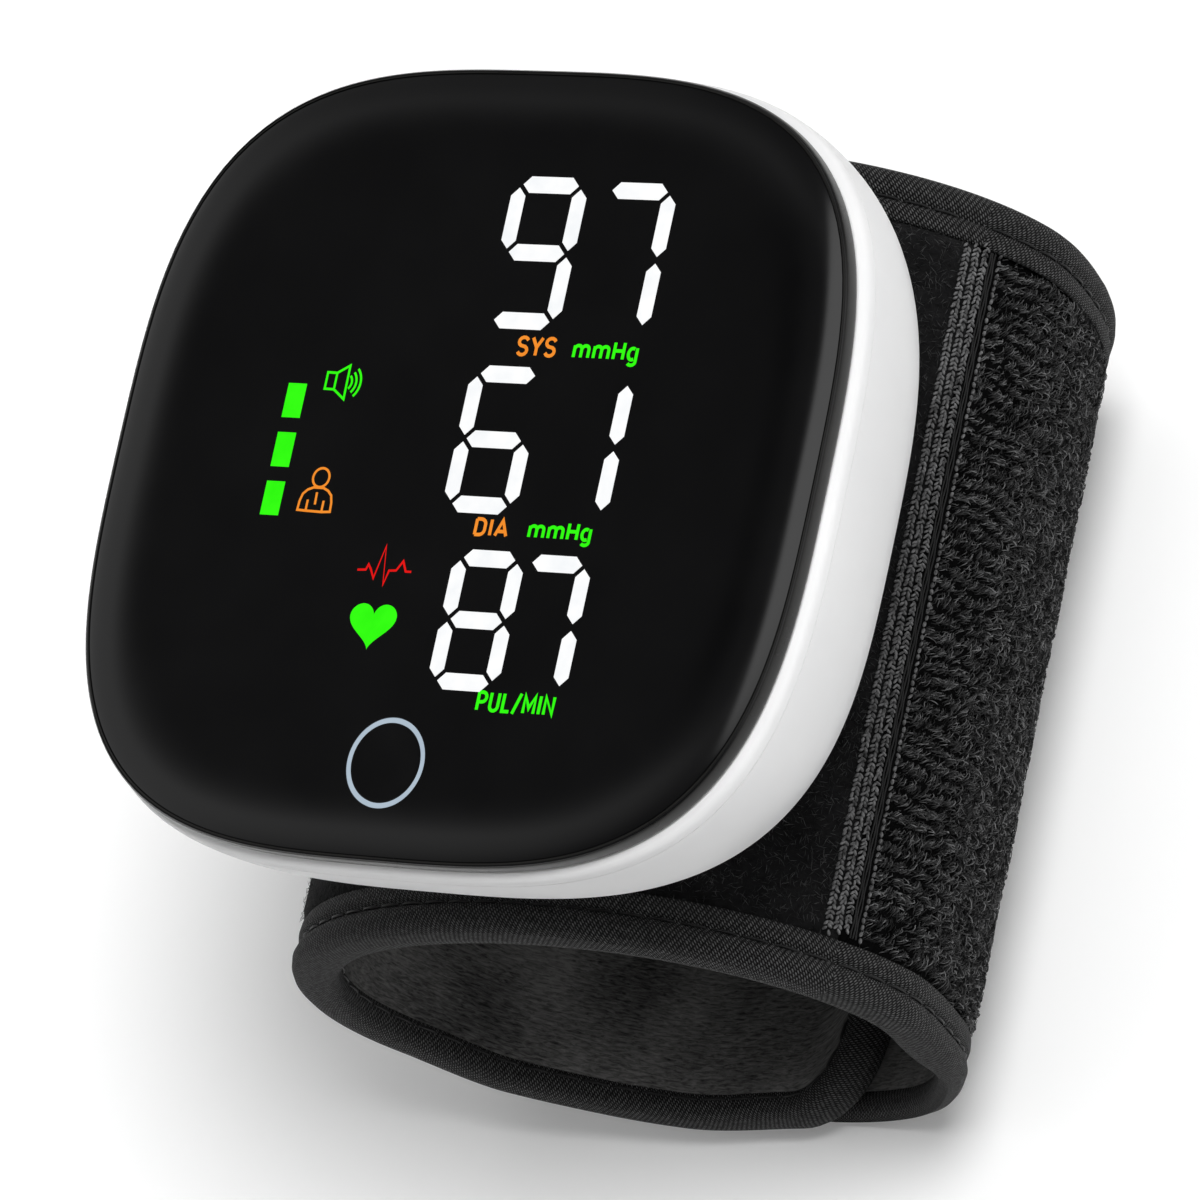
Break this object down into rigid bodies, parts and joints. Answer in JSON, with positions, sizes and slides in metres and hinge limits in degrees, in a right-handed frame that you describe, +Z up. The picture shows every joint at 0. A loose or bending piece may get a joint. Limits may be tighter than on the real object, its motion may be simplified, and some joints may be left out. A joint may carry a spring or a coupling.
{
  "type": "wrist blood pressure monitor",
  "caption": "Wrist blood pressure monitor: squarish black display on a white wedge housing, start button with a light ring, and a soft oval cuff closed by a hook and loop flap.",
  "frame": {"origin": "on the floor below the cuff's axis, in the middle of the flat of the cuff's back", "axes": "+Z up, out of the cuff towards the display; +Y along the cuff, towards the top of the display; +X to the right of the display"},
  "size_m": [0.0778, 0.0793, 0.0877],
  "materials": {
    "smoked_window": "polished smoked window with a rolled edge",
    "button_black": "satin black",
    "light_ring": "frosted light guide",
    "white_case": "fine satin moulding",
    "circuit_board": "solder resist",
    "black_moulding": "moulded",
    "bright_steel": "plated",
    "turned_brass": "turned",
    "silicone": "moulded",
    "cell_foil": "foil pouch",
    "velvet": "short brushed velvet",
    "loop_pile": "fluffy loop pile",
    "woven_tape": "ribbed woven tape",
    "dark_film": "smooth film",
    "brushed_lining": "brushed knit",
    "hook_tape": "moulded hooks on tape"
  },
  "bodies": {
    "monitor": {"front_cover": "smoked_window", "button_light_ring": "light_ring", "front_frame": "white_case", "rear_shell": "white_case", "main_board": "circuit_board", "display_module": "black_moulding", "tact_switch": "black_moulding", "controller_chip": "black_moulding", "sounder": "black_moulding", "charging_socket": "bright_steel", "pressure_sensor": "black_moulding", "pump_motor": "bright_steel", "pump_head": "black_moulding", "valve_body": "bright_steel", "valve_hose": "silicone", "air_tee": "silicone", "battery_cell": "cell_foil", "cuff_outer_panel": "velvet", "loop_panel": "loop_pile", "loop_selvedge": "woven_tape", "cuff_stiffener": "dark_film", "cuff_bladder": "dark_film", "cuff_lining": "brushed_lining", "cuff_binding": "woven_tape", "case_screw_1": "bright_steel", "case_screw_2": "bright_steel", "case_screw_3": "bright_steel", "case_screw_4": "bright_steel", "anchor_screw_1": "bright_steel", "anchor_screw_2": "bright_steel"},
    "button": {"start_button": "button_black"},
    "flap": {"flap_loop_panel": "loop_pile", "flap_lining": "brushed_lining", "flap_binding": "woven_tape", "flap_hook_patch": "hook_tape"},
    "pump_rotor": {"pump_shaft": "turned_brass"},
    "valve_pin": {"valve_plunger": "turned_brass"}
  },
  "joints": [
    {"name": "button_press", "type": "slide", "parent": "monitor", "child": "button", "axis": [0, 0.0854, -0.9963], "range_m": [0, 0.0004], "stiffness_N_per_m": 1500, "springref_m": -0.0006},
    {"name": "flap_fold", "type": "hinge", "parent": "monitor", "child": "flap", "pos_m": [0.0311, 0, 0.02282], "axis": [0, -1, 0], "range_deg": [0, 120]},
    {"name": "pump_turn", "type": "hinge", "parent": "monitor", "child": "pump_rotor", "pos_m": [0.01997, -0.01241, 0.06364], "axis": [0, 1, 0], "continuous": true},
    {"name": "valve_slide", "type": "slide", "parent": "monitor", "child": "valve_pin", "axis": [0, -1, 0], "range_m": [0, 0.001], "stiffness_N_per_m": 300, "springref_m": -0.001}
  ]
}
